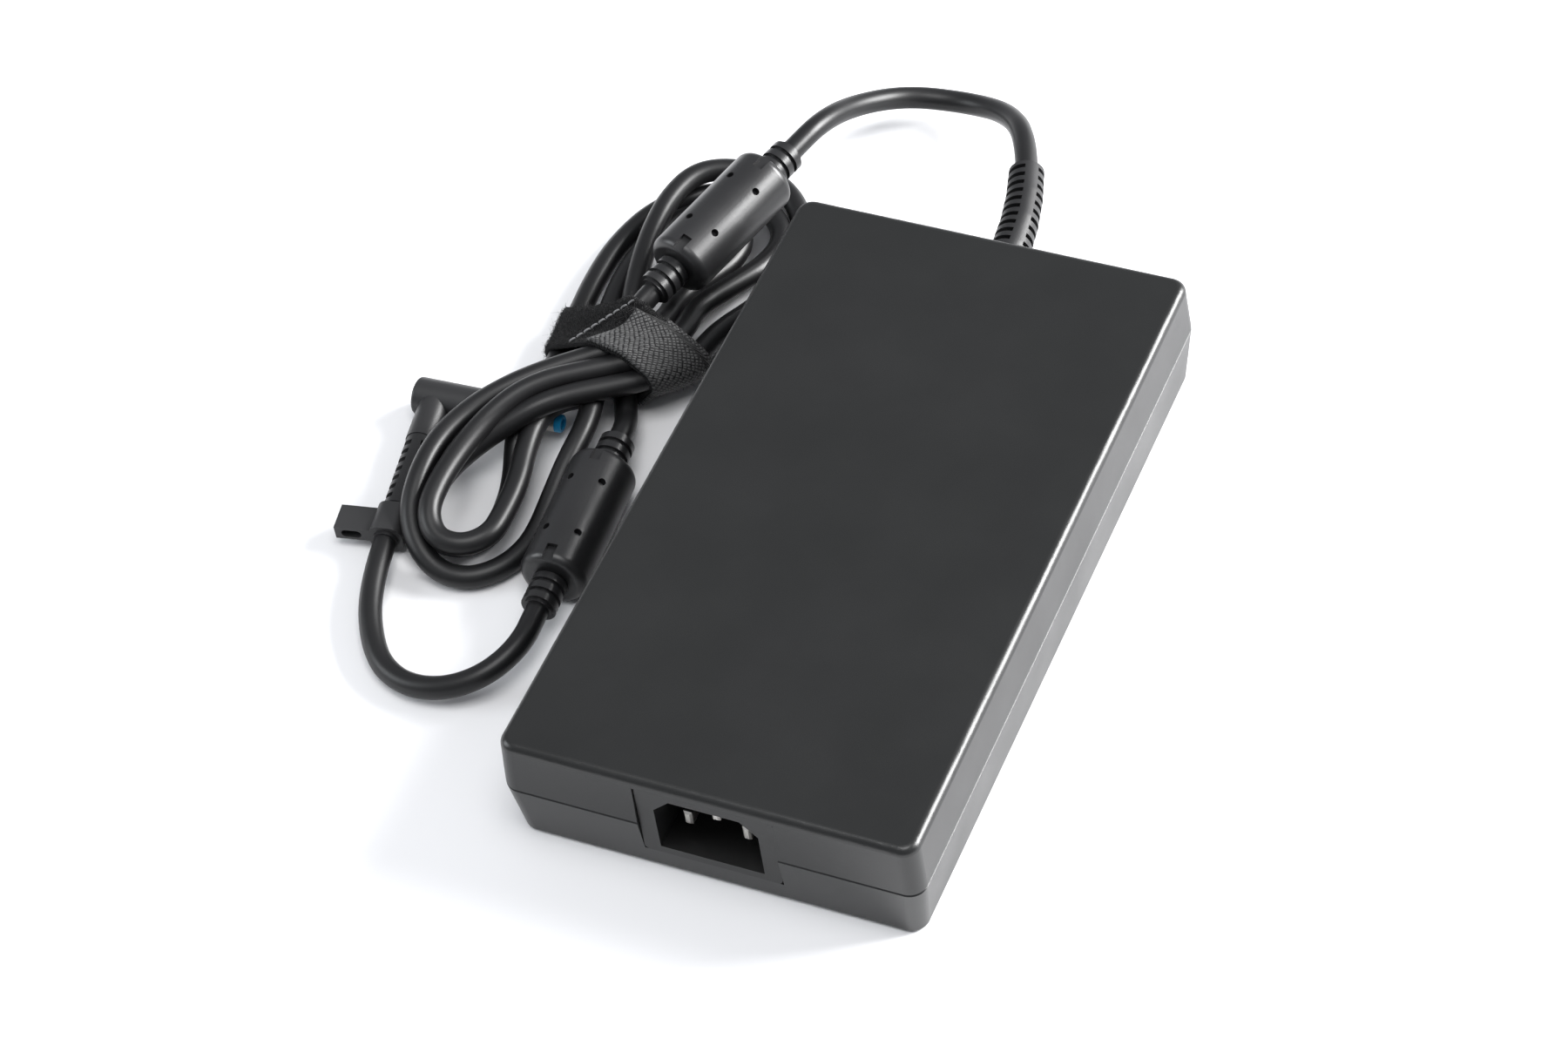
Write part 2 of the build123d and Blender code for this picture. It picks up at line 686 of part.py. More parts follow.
case_lead_route = [
    tuple(boot_tip.origin),
    tuple(boot_tip.offset(12.2).origin),
    (-19.9, 147.9, 11.2),
    (-34.1, 153.9, 5.7),
    (-48.8, 150.4, 7.4),
    (-57.4, 138.2, 13.3),
    stub_end(upper_choke_ends, 0, 12.9),
    stub_end(upper_choke_ends, 0),
]
plug_lead_route = [
    stub_end(lower_choke_ends, 1),
    stub_end(lower_choke_ends, 1, 10.6),
    (-71.5, -54.6, 6.8),
    (-80.5, -60.2, 4.7),
    (-91.3, -60.3, 3.2),
    (-101.2, -54.5, 3.2),
    tuple(nose_face.offset(14.5).origin),
    tuple(nose_face.origin),
]

lead_lengths = {}
for name, route in {"case_lead": case_lead_route, "plug_lead": plug_lead_route}.items():
    with BuildPart() as lead:
        with BuildLine() as path:
            FilletPolyline(*route, radius=arc_radii(route))
        with BuildSketch(along(route[0], route[1])):
            Circle(cord_diameter / 2)
        sweep()
    lead_lengths[name] = path.wires()[0].length
    lead.part.label = name
    export_step(lead.part, "parts/" + name + ".step")
    section = 3.141593 * cord_diameter**2 / 4
    print(name, "arc radii", [round(radius, 1) for radius in arc_radii(route)])
    print(name, "length", round(lead_lengths[name], 1), "volume ratio",
          round(lead.part.volume / (section * lead_lengths[name]), 4))

# ---------------------------------------------------------------- hank and its strap

waist_centre = (-80.0, 46.0)
waist_lean = 14.0
waist_floor = strap_thickness + 0.1
waist_across = (cos(radians(waist_lean)), -sin(radians(waist_lean)), 0)
waist_ahead = (-sin(radians(waist_lean)), -cos(radians(waist_lean)), 0)
waist_section = Plane(origin=(*waist_centre, 0), x_dir=waist_across, z_dir=waist_ahead)


def waist_outline(grow):
    """The bundle's oval section at the waist, grown outwards, with its low side towards -X."""
    half = hank_waist_width / 2 + grow
    base = waist_floor - grow
    top = waist_floor + hank_waist_height + grow
    with BuildSketch(Plane.XY) as section:
        with BuildLine():
            FilletPolyline(
                (-half, base),
                (half, base),
                (half, top - 3.0),
                (half - 7.0, top),
                (-half + 12.0, top - 1.5),
                (-half, top - 5.0),
                close=True,
                radius=hank_waist_radius / 2 + grow,
            )
        make_face()
    return section.sketch


near_loop = [(-70.5, 34.0), (-78.2, 17.0), (-79.2, 0.0), (-78.6, -19.0), (-83.0, -34.0), (-94.5, -37.8),
             (-103.5, -34.0), (-107.6, -22.0), (-111.0, -4.0), (-107.0, 18.0), (-93.0, 38.0)]
near_eye = [(-95.6, 8.0), (-94.0, 0.0), (-92.4, -10.0), (-94.5, -20.0), (-98.4, -12.0), (-98.2, 0.0)]
far_loop = [(-97.0, 48.0), (-103.4, 66.0), (-102.4, 88.0), (-92.0, 109.0), (-76.0, 118.0), (-60.5, 111.5),
            (-53.0, 94.0), (-55.6, 74.0), (-66.0, 54.0)]
far_eye = [(-82.0, 66.0), (-88.0, 80.0), (-85.0, 92.0), (-77.0, 97.0), (-73.5, 88.0), (-76.5, 76.0)]
plug_channel_gap = 0.4

with BuildPart() as cord_hank:
    with BuildSketch(Plane.XY):
        with BuildLine():
            Spline(*near_loop, periodic=True)
        make_face()
        with BuildLine():
            Spline(*near_eye, periodic=True)
        make_face(mode=Mode.SUBTRACT)
    extrude(amount=hank_near_height)
    slope = Plane(origin=(0, 12.0, hank_near_height), z_dir=(0, -hank_near_slope, 1))
    split(bisect_by=slope, keep=Keep.BOTTOM)
    with BuildSketch(Plane.XY):
        with BuildLine():
            Spline(*far_loop, periodic=True)
        make_face()
        with BuildLine():
            Spline(*far_eye, periodic=True)
        make_face(mode=Mode.SUBTRACT)
    extrude(amount=hank_far_height)
    with BuildSketch(waist_section.offset(-hank_waist_length / 2)):
        Rectangle(3 * hank_waist_width, 3 * hank_near_height)
    extrude(amount=hank_waist_length, mode=Mode.SUBTRACT)
    with BuildSketch(waist_section.offset(-hank_waist_length / 2)):
        add(waist_outline(0))
    extrude(amount=hank_waist_length)
    channel = along(elbow, tuple(elbow[i] + head_axis[i] for i in range(3)))
    with BuildSketch(channel.offset(-plug_head_diameter)):
        Circle(plug_head_diameter / 2 + plug_channel_gap)
        with Locations((0, -plug_head_diameter / 2)):
            Rectangle(plug_head_diameter + 2 * plug_channel_gap, plug_head_diameter)
    extrude(amount=plug_head_diameter + plug_head_length + barrel_length + 2.0, mode=Mode.SUBTRACT)
cord_hank.part.label = "cord_hank"
export_step(cord_hank.part, "parts/cord_hank.step")

link_start = stub_end(lower_choke_ends, 0)
link_reach = 7.5
with BuildPart() as choke_lead:
    with BuildSketch(along(link_start, stub_end(lower_choke_ends, 0, link_reach))):
        Circle(cord_diameter / 2)
    extrude(amount=link_reach)
choke_lead.part.label = "choke_lead"
export_step(choke_lead.part, "parts/choke_lead.step")

with BuildPart() as strap_band:
    with BuildSketch(waist_section.offset(-strap_width / 2)):
        add(waist_outline(strap_thickness))
        add(waist_outline(0.05), mode=Mode.SUBTRACT)
    extrude(amount=strap_width)
strap_band.part.label = "strap_band"
export_step(strap_band.part, "parts/strap_band.step")

with BuildPart() as strap_patch:
    with BuildSketch(waist_section.offset(-strap_width / 2)):
        add(waist_outline(strap_thickness + patch_thickness))
        add(waist_outline(strap_thickness + 0.05), mode=Mode.SUBTRACT)
        with Locations((hank_waist_width / 2 + 6.0 - patch_length / 2, 8.0 + hank_near_height / 2)):
            Rectangle(patch_length + 12.0, hank_near_height + 8.0, mode=Mode.INTERSECT)
    extrude(amount=strap_width)
strap_patch.part.label = "strap_patch"
export_step(strap_patch.part, "parts/strap_patch.step")

# ---------------------------------------------------------------- plug and clip

head_plane = Plane(origin=elbow, x_dir=(0, 0, 1), z_dir=head_axis)
tail_plane = Plane(origin=elbow, x_dir=(0, 0, 1), z_dir=boot_axis)
head_back = plug_head_diameter / 2 + 0.6

with BuildPart() as plug_housing:
    with BuildSketch(head_plane.offset(-head_back)):
        Circle(plug_head_diameter / 2)
    extrude(amount=head_back + plug_head_length)
    fillet(plug_housing.edges().filter_by(GeomType.CIRCLE), 0.8)
    with BuildSketch(tail_plane):
        Circle(plug_neck_diameter / 2)
    extrude(amount=plug_neck_length)
    socket_depth = 6.0
    with BuildSketch(head_plane.offset(plug_head_length - socket_depth)):
        Circle(barrel_diameter / 2)
    extrude(amount=socket_depth, mode=Mode.SUBTRACT)
plug_housing.part.label = "plug_housing"
export_step(plug_housing.part, "parts/plug_housing.step")

with BuildPart() as plug_boot:
    with BuildSketch(tail_plane.offset(plug_neck_length)):
        Circle(plug_boot_diameter / 2 + 0.3)
    with BuildSketch(tail_plane.offset(plug_neck_length + plug_boot_length)):
        Circle(plug_boot_diameter / 2)
    loft(ruled=True)
    with BuildSketch(tail_plane.offset(plug_neck_length + plug_boot_length)):
        Circle(nose_diameter / 2)
    extrude(amount=nose_length)
    plug_slot_pitch = (plug_boot_length - 2.0) / plug_boot_slots
    for slot in range(plug_boot_slots):
        with BuildSketch(tail_plane.offset(plug_neck_length + 2.0 + slot * plug_slot_pitch)):
            Circle(plug_boot_diameter)
            Circle(cord_diameter / 2, mode=Mode.SUBTRACT)
            Rectangle(3 * plug_boot_diameter, 2.4, mode=Mode.SUBTRACT)
        extrude(amount=1.4, mode=Mode.SUBTRACT)
plug_boot.part.label = "plug_boot"
export_step(plug_boot.part, "parts/plug_boot.step")

with BuildPart() as barrel_sleeve:
    with BuildSketch(head_plane.offset(plug_head_length - socket_depth)):
        Circle(barrel_diameter / 2)
        Circle(barrel_bore / 2, mode=Mode.SUBTRACT)
    extrude(amount=socket_depth + barrel_length - insulator_length)
barrel_sleeve.part.label = "barrel_sleeve"
export_step(barrel_sleeve.part, "parts/barrel_sleeve.step")

insulator_bore = barrel_bore - 0.8
with BuildPart() as barrel_insulator:
    with BuildSketch(head_plane.offset(plug_head_length + barrel_length - insulator_length)):
        Circle(barrel_diameter / 2)
    extrude(amount=insulator_length)
    chamfer(barrel_insulator.faces().sort_by(Axis.X)[-1].edges(), 0.3)
    with BuildSketch(head_plane.offset(plug_head_length - socket_depth)):
        Circle(barrel_bore / 2)
    extrude(amount=socket_depth + barrel_length - insulator_length)
    with BuildSketch(head_plane.offset(plug_head_length)):
        Circle(insulator_bore / 2)
    extrude(amount=barrel_length, mode=Mode.SUBTRACT)
    with BuildSketch(head_plane.offset(plug_head_length - socket_depth)):
        Circle(centre_pin_diameter / 2)
    extrude(amount=socket_depth, mode=Mode.SUBTRACT)
barrel_insulator.part.label = "barrel_insulator"
export_step(barrel_insulator.part, "parts/barrel_insulator.step")

with BuildPart() as centre_pin:
    with BuildSketch(head_plane.offset(plug_head_length - socket_depth)):
        Circle(centre_pin_diameter / 2)
    extrude(amount=socket_depth + barrel_length - insulator_length)
centre_pin.part.label = "centre_pin"
export_step(centre_pin.part, "parts/centre_pin.step")

clip_start = plug_neck_length + plug_boot_length + (nose_length - clip_length) / 2
with BuildPart() as cord_clip:
    clip_middle = tail_plane.offset(clip_start + clip_length / 2)
    with BuildSketch(tail_plane.offset(clip_start)):
        RectangleRounded(clip_width, clip_width, clip_corner_radius)
    extrude(amount=clip_length)
    tab_plane = Plane(origin=clip_middle.origin, x_dir=tuple(clip_middle.y_dir), z_dir=boot_axis)
    with BuildSketch(tab_plane.offset(-tab_depth / 2)):
        with Locations((tab_reach / 2, 0)):
            Rectangle(tab_reach, tab_thickness)
        with Locations((-1.8, 1.45)):
            Rectangle(3.6, 2.9)
    extrude(amount=tab_depth)
    with BuildSketch(tab_plane.offset(-tab_depth / 2)):
        with Locations((tab_reach - 1.6 - tab_slot_width / 2, 0)):
            SlotOverall(tab_slot_width, tab_slot_height)
    extrude(amount=tab_depth, mode=Mode.SUBTRACT)
    with BuildSketch(tail_plane.offset(clip_start)):
        Circle(nose_diameter / 2 + clip_clearance)
    extrude(amount=clip_length, mode=Mode.SUBTRACT)
cord_clip.part.label = "cord_clip"
export_step(cord_clip.part, "parts/cord_clip.step")
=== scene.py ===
"""A laptop power adapter: materials, lead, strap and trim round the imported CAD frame."""
import bpy
import numpy as np
from math import cos, pi, radians, sin
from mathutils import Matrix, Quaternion, Vector


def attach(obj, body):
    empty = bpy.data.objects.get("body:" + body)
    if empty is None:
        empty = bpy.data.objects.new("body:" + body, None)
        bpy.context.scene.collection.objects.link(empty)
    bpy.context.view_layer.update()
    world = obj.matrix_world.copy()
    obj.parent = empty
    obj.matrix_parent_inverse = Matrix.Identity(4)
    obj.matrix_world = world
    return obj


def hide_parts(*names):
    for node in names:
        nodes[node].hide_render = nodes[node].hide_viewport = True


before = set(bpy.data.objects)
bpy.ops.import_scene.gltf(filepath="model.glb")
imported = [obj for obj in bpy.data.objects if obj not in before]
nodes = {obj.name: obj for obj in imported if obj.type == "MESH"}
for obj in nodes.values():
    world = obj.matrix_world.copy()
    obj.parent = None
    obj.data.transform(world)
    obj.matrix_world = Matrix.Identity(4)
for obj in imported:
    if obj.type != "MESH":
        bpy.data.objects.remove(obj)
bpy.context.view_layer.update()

scene = bpy.context.scene

# ---------------------------------------------------------------- room
# A white sweep of floor under a big soft light from the right and a weaker one from the front left.
# The adapter lies on it, and the camera looks down along it from the inlet's end.

camera_place = Vector((0.3135, -0.5796, 0.7657))
camera_aim = Vector((-0.0199, 0.0019, 0.0154))
camera_roll = radians(-9.54)
camera_data = bpy.data.cameras.new("camera")
camera_data.lens = 100.37
camera_data.sensor_width = 36.0
camera = bpy.data.objects.new("camera", camera_data)
camera.rotation_mode = "QUATERNION"
camera.location = camera_place
aim_turn = (camera_aim - camera_place).to_track_quat("-Z", "Y")
camera.rotation_quaternion = aim_turn @ Quaternion((0.0, 0.0, 1.0), camera_roll)
scene.collection.objects.link(camera)
scene.camera = camera


def make_mesh(name, points, faces, smooth=True):
    """A mesh object from arrays of points and faces, linked to the scene, with its place in its mesh."""
    mesh = bpy.data.meshes.new(name)
    mesh.from_pydata(np.asarray(points, float).tolist(), [], [list(face) for face in faces])
    mesh.update()
    mesh.polygons.foreach_set("use_smooth", [smooth] * len(mesh.polygons))
    made = bpy.data.objects.new(name, mesh)
    scene.collection.objects.link(made)
    return made


def new_material(name, colour, roughness):
    """A material with one Principled shader; returns it with its nodes, its links and the shader."""
    made = bpy.data.materials.new(name)
    made.use_nodes = True
    tree = made.node_tree
    shader = tree.nodes["Principled BSDF"]
    shader.inputs["Base Color"].default_value = (*colour, 1.0)
    shader.inputs["Roughness"].default_value = roughness
    return made, tree, shader


floor_half = 3.0
floor_corners = [(-floor_half, -floor_half, 0), (floor_half, -floor_half, 0),
                 (floor_half, floor_half, 0), (-floor_half, floor_half, 0)]
floor = make_mesh("floor", floor_corners, [(0, 1, 2, 3)], smooth=False)
floor_material, _, floor_shader = new_material("pale_floor", (0.86, 0.86, 0.87), 0.9)
floor_shader.inputs["Specular IOR Level"].default_value = 0.1
floor.data.materials.append(floor_material)

world = bpy.data.worlds.new("studio")
world.use_nodes = True
world.node_tree.nodes["Background"].inputs["Color"].default_value = (0.93, 0.95, 1.0, 1.0)
world.node_tree.nodes["Background"].inputs["Strength"].default_value = 0.45
scene.world = world
scene.view_settings.view_transform = "Standard"


def soft_light(name, place, aim, size, power, colour):
    """A square area light at a place, facing a point."""
    data = bpy.data.lights.new(name, "AREA")
    data.size = size
    data.energy = power
    data.color = colour
    light = bpy.data.objects.new(name, data)
    light.rotation_mode = "QUATERNION"
    light.location = place
    light.rotation_quaternion = (Vector(aim) - Vector(place)).to_track_quat("-Z", "Y")
    scene.collection.objects.link(light)


soft_light("right_softbox", (1.25, 0.95, 0.75), (0.12, 0.2, 0.0), 0.9, 95.0, (1.0, 1.0, 1.0))
soft_light("overhead_softbox", (0.2, -0.3, 1.9), (0.0, 0.0, 0.0), 1.1, 20.0, (1.0, 1.0, 1.0))
soft_light("left_softbox", (-1.6, -0.6, 0.9), (-0.1, 0.0, 0.0), 0.9, 14.0, (0.93, 0.97, 1.0))

# ---------------------------------------------------------------- case
# Two shells of black moulded plastic that meet at a fine parting line round the sides.
# The mould is spark-eroded, so every outside face has a fine even grain.


def make_group(name, inputs, outputs):
    """A shader node group with named float inputs and outputs; returns it with its in and out nodes."""
    group = bpy.data.node_groups.new(name, "ShaderNodeTree")
    for label, value in inputs:
        socket = group.interface.new_socket(label, in_out="INPUT", socket_type="NodeSocketFloat")
        socket.default_value = value
    for label, kind in outputs:
        group.interface.new_socket(label, in_out="OUTPUT", socket_type=kind)
    return group, group.nodes.new("NodeGroupInput"), group.nodes.new("NodeGroupOutput")


grain_group, grain_in, grain_out = make_group(
    "moulded_grain",
    [("Grains per metre", 2600.0), ("Depth", 0.00003), ("Wear", 0.1), ("Roughness", 0.5)],
    [("Normal", "NodeSocketVector"), ("Roughness", "NodeSocketFloat"), ("Shade", "NodeSocketFloat")],
)
grain_coordinates = grain_group.nodes.new("ShaderNodeTexCoord")
grain_noise = grain_group.nodes.new("ShaderNodeTexNoise")
grain_noise.inputs["Detail"].default_value = 3.0
grain_noise.inputs["Roughness"].default_value = 0.6
grain_bump = grain_group.nodes.new("ShaderNodeBump")
grain_bump.inputs["Strength"].default_value = 1.0
patch_noise = grain_group.nodes.new("ShaderNodeTexNoise")
patch_noise.inputs["Scale"].default_value = 38.0
patch_noise.inputs["Detail"].default_value = 4.0
patch_range = grain_group.nodes.new("ShaderNodeMapRange")
patch_range.inputs["From Min"].default_value = 0.3
patch_range.inputs["From Max"].default_value = 0.7
patch_range.inputs["To Min"].default_value = -1.0
patch_range.inputs["To Max"].default_value = 1.0
patch_wear = grain_group.nodes.new("ShaderNodeMath")
patch_wear.operation = "MULTIPLY"
patch_rough = grain_group.nodes.new("ShaderNodeMath")
patch_rough.operation = "ADD"
patch_shade = grain_group.nodes.new("ShaderNodeMath")
patch_shade.operation = "ADD"
patch_shade.inputs[1].default_value = 0.5
for start, end in (
    (grain_coordinates.outputs["Object"], grain_noise.inputs["Vector"]),
    (grain_in.outputs["Grains per metre"], grain_noise.inputs["Scale"]),
    (grain_noise.outputs["Fac"], grain_bump.inputs["Height"]),
    (grain_in.outputs["Depth"], grain_bump.inputs["Distance"]),
    (grain_bump.outputs["Normal"], grain_out.inputs["Normal"]),
    (grain_coordinates.outputs["Object"], patch_noise.inputs["Vector"]),
    (patch_noise.outputs["Fac"], patch_range.inputs["Value"]),
    (patch_range.outputs["Result"], patch_wear.inputs[0]),
    (grain_in.outputs["Wear"], patch_wear.inputs[1]),
    (patch_wear.outputs["Value"], patch_rough.inputs[0]),
    (grain_in.outputs["Roughness"], patch_rough.inputs[1]),
    (patch_rough.outputs["Value"], grain_out.inputs["Roughness"]),
    (patch_wear.outputs["Value"], patch_shade.inputs[0]),
    (patch_shade.outputs["Value"], grain_out.inputs["Shade"]),
):
    grain_group.links.new(start, end)


def grained(name, dark, light, roughness, grains=2600.0, depth=0.00003, wear=0.1, specular=0.5):
    """A moulded finish: its colour runs from dark to light in broad faint patches, over a fine grain."""
    made, tree, shader = new_material(name, light, roughness)
    shader.inputs["Specular IOR Level"].default_value = specular
    grain = tree.nodes.new("ShaderNodeGroup")
    grain.node_tree = grain_group
    grain.inputs["Grains per metre"].default_value = grains
    grain.inputs["Depth"].default_value = depth
    grain.inputs["Wear"].default_value = wear
    grain.inputs["Roughness"].default_value = roughness
    tint = tree.nodes.new("ShaderNodeMix")
    tint.data_type = "RGBA"
    tint.inputs["A"].default_value = (*dark, 1.0)
    tint.inputs["B"].default_value = (*light, 1.0)
    tree.links.new(grain.outputs["Shade"], tint.inputs["Factor"])
    tree.links.new(tint.outputs["Result"], shader.inputs["Base Color"])
    tree.links.new(grain.outputs["Roughness"], shader.inputs["Roughness"])
    tree.links.new(grain.outputs["Normal"], shader.inputs["Normal"])
    return made


def finish_nodes(material, *names):
    """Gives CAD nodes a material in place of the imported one."""
    for name in names:
        slots = nodes[name].data.materials
        slots.clear()
        slots.append(material)


case_plastic = grained("case_plastic", (0.006, 0.0063, 0.0063), (0.009, 0.0094, 0.0094), 0.34,
                       depth=0.00002, wear=0.04)
finish_nodes(case_plastic, "upper_case", "lower_case")

# ---------------------------------------------------------------- rating label
# A satin polyester film without print, stuck into the shallow recess under the case.

label_film = grained("label_film", (0.05, 0.05, 0.052), (0.07, 0.07, 0.072), 0.35,
                     grains=900.0, depth=0.00001, wear=0.04)
finish_nodes(label_film, "rating_label")

# ---------------------------------------------------------------- mains inlet
# A smooth black moulded socket with three nickel-plated brass blades, trapped between the shells.

inlet_plastic = grained("inlet_plastic", (0.008, 0.008, 0.008), (0.012, 0.012, 0.012), 0.38,
                        grains=1800.0, depth=0.00001, wear=0.05)
finish_nodes(inlet_plastic, "inlet_housing")


def metal(name, colour, roughness):
    """A plated or rolled metal with faint blotches in its gloss."""
    dark = tuple(0.8 * channel for channel in colour)
    made = grained(name, dark, colour, roughness, grains=1200.0, depth=0.000004, wear=0.12)
    made.node_tree.nodes["Principled BSDF"].inputs["Metallic"].default_value = 1.0
    return made


nickel = metal("nickel_plating", (0.72, 0.7, 0.66), 0.28)
finish_nodes(nickel, "line_blade", "neutral_blade", "earth_blade")

# ---------------------------------------------------------------- board, spreaders and components
# A green laminate board with its parts soldered on, between two bent aluminium sheets.

inner_finishes = {
    "solder_mask": ((0.01, 0.09, 0.03), 0.35, ("circuit_board",)),
    "insulating_film": ((0.6, 0.58, 0.5), 0.5, ("insulation_sheet",)),
    "ceramic_tube": ((0.7, 0.68, 0.62), 0.4, ("fuse",)),
    "sintered_ferrite": ((0.035, 0.035, 0.04), 0.6, (
        "line_filter_choke", "boost_inductor", "transformer_core", "output_inductor",
        "upper_choke_ferrite", "lower_choke_ferrite")),
    "yellow_film_case": ((0.6, 0.42, 0.05), 0.4, ("film_capacitor",)),
    "moulded_epoxy": ((0.015, 0.015, 0.015), 0.5, (
        "bridge_rectifier", "primary_transistors", "output_rectifiers")),
    "shrunk_sleeve": ((0.01, 0.012, 0.05), 0.3, ("bulk_capacitors", "output_capacitors")),
    "winding_tape": ((0.62, 0.5, 0.06), 0.45, ("transformer_winding",)),
    "wire_sleeve": ((0.3, 0.02, 0.02), 0.45, ("output_wires",)),
}
for finish_name, (colour, roughness, names) in inner_finishes.items():
    dark = tuple(0.75 * channel for channel in colour)
    finish_nodes(grained(finish_name, dark, colour, roughness, grains=900.0, depth=0.00003), *names)
finish_nodes(metal("rolled_aluminium", (0.7, 0.71, 0.72), 0.4),
             "lower_heat_spreader", "upper_heat_spreader", "primary_heatsink", "output_heatsink")

# ---------------------------------------------------------------- boots and chokes
# Soft black mouldings on the lead: the ribbed boot at the case, and two barrels round ferrite tubes.

boot_rubber = grained("boot_rubber", (0.007, 0.007, 0.0075), (0.011, 0.011, 0.012), 0.42,
                      grains=2200.0, depth=0.00002, wear=0.08)
choke_plastic = grained("choke_plastic", (0.009, 0.009, 0.0095), (0.015, 0.015, 0.016), 0.36,
                        grains=2400.0, depth=0.00002, wear=0.08)
finish_nodes(boot_rubber, "cord_boot", "plug_boot")
finish_nodes(choke_plastic, "upper_choke_moulding", "lower_choke_moulding")

# ---------------------------------------------------------------- plug and clip
# A right-angle plug: a satin moulding, a plated barrel with a blue tip, and a clip turning on its nose.

plug_plastic = grained("plug_plastic", (0.011, 0.011, 0.0115), (0.018, 0.018, 0.019), 0.42,
                       grains=2400.0, depth=0.00002, wear=0.08)
clip_plastic = grained("clip_plastic", (0.014, 0.014, 0.0145), (0.022, 0.022, 0.023), 0.45,
                       grains=2400.0, depth=0.00002, wear=0.08)
blue_plastic = grained("blue_insulator", (0.005, 0.2, 0.42), (0.008, 0.28, 0.55), 0.35,
                       grains=1200.0, depth=0.00001, wear=0.05)
finish_nodes(plug_plastic, "plug_housing")
finish_nodes(clip_plastic, "cord_clip")
finish_nodes(blue_plastic, "barrel_insulator")
finish_nodes(nickel, "barrel_sleeve", "centre_pin")

# ---------------------------------------------------------------- lead
# One round satin-black lead, limp, from the boot's tip through both chokes to the plug's boot.
# Between the chokes it is folded into a figure eight of three loose turns, held by the strap.

cord_diameter = 0.0056
case_lead_route = [
    (-0.0061, 0.1243, 0.0163), (-0.0104, 0.1357, 0.0163),
    (-0.0199, 0.1479, 0.0112), (-0.0341, 0.1539, 0.0057),
    (-0.0488, 0.1504, 0.0074), (-0.0574, 0.1382, 0.0133),
    (-0.0598, 0.1233, 0.0208), (-0.0633, 0.1109, 0.0203),
]
upper_choke_route = [(-0.0706, 0.0849, 0.0193), (-0.0780, 0.0589, 0.0183)]
waist_entry = [(-0.0804, 0.0526, 0.0162), (-0.0836, 0.0464, 0.0122), (-0.0846, 0.0396, 0.0098)]
# One row for each place along the figure eight, with the three turns side by side.
near_right = [
    ((-0.0826, 0.0320, 0.0096), (-0.0860, 0.0330, 0.0052), (-0.0976, 0.0360, 0.0052)),
    ((-0.0798, 0.0210, 0.0096), (-0.0902, 0.0260, 0.0094), (-0.0976, 0.0275, 0.0098)),
    ((-0.0802, 0.0110, 0.0084), (-0.0919, 0.0185, 0.0101), (-0.0972, 0.0210, 0.0106)),
    ((-0.0804, 0.0010, 0.0052), (-0.0908, 0.0095, 0.0094), (-0.0956, 0.0135, 0.0070)),
    ((-0.0802, -0.0080, 0.0032), (-0.0884, 0.0000, 0.0088), (-0.0924, 0.0040, 0.0034)),
]
near_end = [
    ((-0.0809, -0.0152, 0.0029), (-0.0876, -0.0094, 0.0086), (-0.0906, -0.0050, 0.0029)),
    ((-0.0842, -0.0222, 0.0029), (-0.0878, -0.0172, 0.0086), (-0.0906, -0.0132, 0.0029)),
    ((-0.0904, -0.0269, 0.0029), (-0.0928, -0.0222, 0.0087), (-0.0958, -0.0184, 0.0029)),
    ((-0.0976, -0.0272, 0.0036), (-0.0996, -0.0222, 0.0094), (-0.1030, -0.0182, 0.0030)),
    ((-0.1042, -0.0236, 0.0066), (-0.1038, -0.0170, 0.0118), (-0.1080, -0.0132, 0.0054)),
]
near_left = [
    ((-0.1089, -0.0170, 0.0096), (-0.1044, -0.0085, 0.0132), (-0.1078, -0.0054, 0.0072)),
    ((-0.1106, -0.0070, 0.0124), (-0.1034, 0.0020, 0.0140), (-0.1060, 0.0014, 0.0084)),
    ((-0.1106, 0.0040, 0.0132), (-0.1010, 0.0118, 0.0150), (-0.1018, 0.0084, 0.0102)),
    ((-0.1072, 0.0150, 0.0132), (-0.0966, 0.0199, 0.0166), (-0.0960, 0.0139, 0.0132)),
    ((-0.1014, 0.0242, 0.0133), (-0.0912, 0.0262, 0.0166), (-0.0904, 0.0192, 0.0153)),
    ((-0.0936, 0.0320, 0.0137), (-0.0848, 0.0318, 0.0154), (-0.0846, 0.0249, 0.0148)),
    ((-0.0850, 0.0388, 0.0140), (-0.0788, 0.0368, 0.0144), (-0.0782, 0.0306, 0.0132)),
]
waist_up = [
    ((-0.0788, 0.0446, 0.0138), (-0.0726, 0.0420, 0.0138), (-0.0722, 0.0364, 0.0116)),
    ((-0.0754, 0.0516, 0.0124), (-0.0692, 0.0482, 0.0128), (-0.0664, 0.0426, 0.0102)),
]
far_right = [
    ((-0.0758, 0.0600, 0.0092), (-0.0694, 0.0560, 0.0106), (-0.0636, 0.0500, 0.0090)),
    ((-0.0774, 0.0705, 0.0055), (-0.0704, 0.0660, 0.0080), (-0.0626, 0.0605, 0.0072)),
    ((-0.0736, 0.0790, 0.0040), (-0.0660, 0.0770, 0.0060), (-0.0586, 0.0710, 0.0052)),
    ((-0.0706, 0.0870, 0.0032), (-0.0616, 0.0870, 0.0046), (-0.0554, 0.0820, 0.0034)),
]
far_end = [
    ((-0.0710, 0.0954, 0.0029), (-0.0609, 0.0966, 0.0036), (-0.0552, 0.0945, 0.0029)),
    ((-0.0772, 0.1014, 0.0029), (-0.0664, 0.1048, 0.0029), (-0.0602, 0.1070, 0.0029)),
    ((-0.0860, 0.1008, 0.0029), (-0.0760, 0.1096, 0.0029), (-0.0690, 0.1152, 0.0036)),
]
